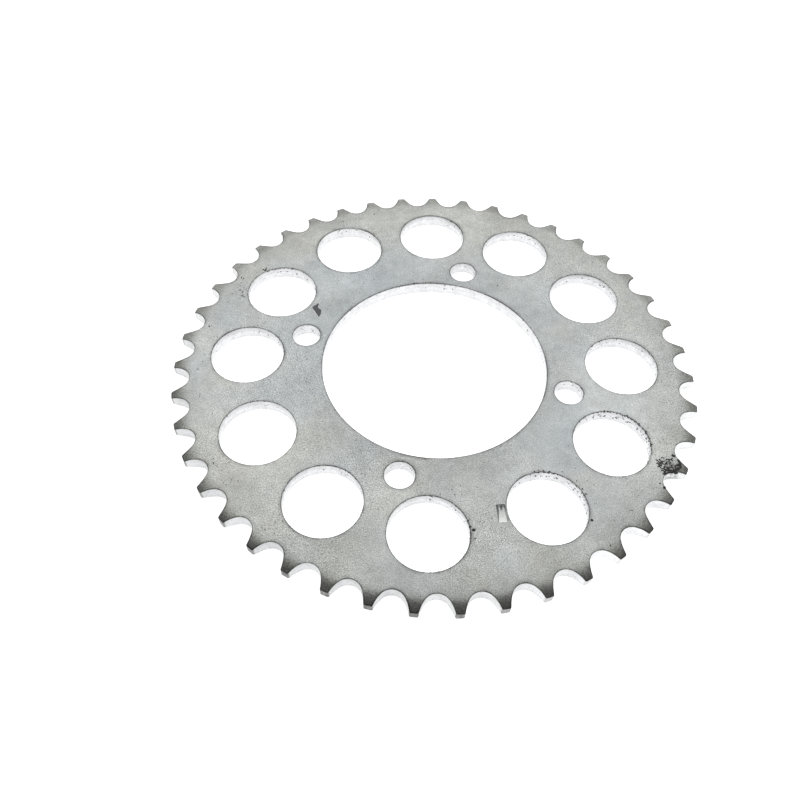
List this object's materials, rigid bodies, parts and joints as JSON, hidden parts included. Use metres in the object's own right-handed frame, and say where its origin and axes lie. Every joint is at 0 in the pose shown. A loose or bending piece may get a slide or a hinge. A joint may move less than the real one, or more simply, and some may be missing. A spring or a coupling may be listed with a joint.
{
  "type": "chain sprocket",
  "caption": "Flat steel roller-chain sprocket with side-relieved teeth, a large plain bore, a ring of bolt holes and a ring of round lightening holes.",
  "frame": {"origin": "on the axis of the bore, in the back face, which bolts against the wheel hub", "axes": "+Z along the bore's axis, out of the back face towards the front face; +X through the middle of a bolt hole"},
  "size_m": [0.2215, 0.2216, 0.0058],
  "materials": {
    "zinc_plated_steel": "dull zinc plating on blanked steel, matt, with fine grain and a little dirt"
  },
  "bodies": {
    "root": {"sprocket": "zinc_plated_steel"}
  },
  "joints": []
}
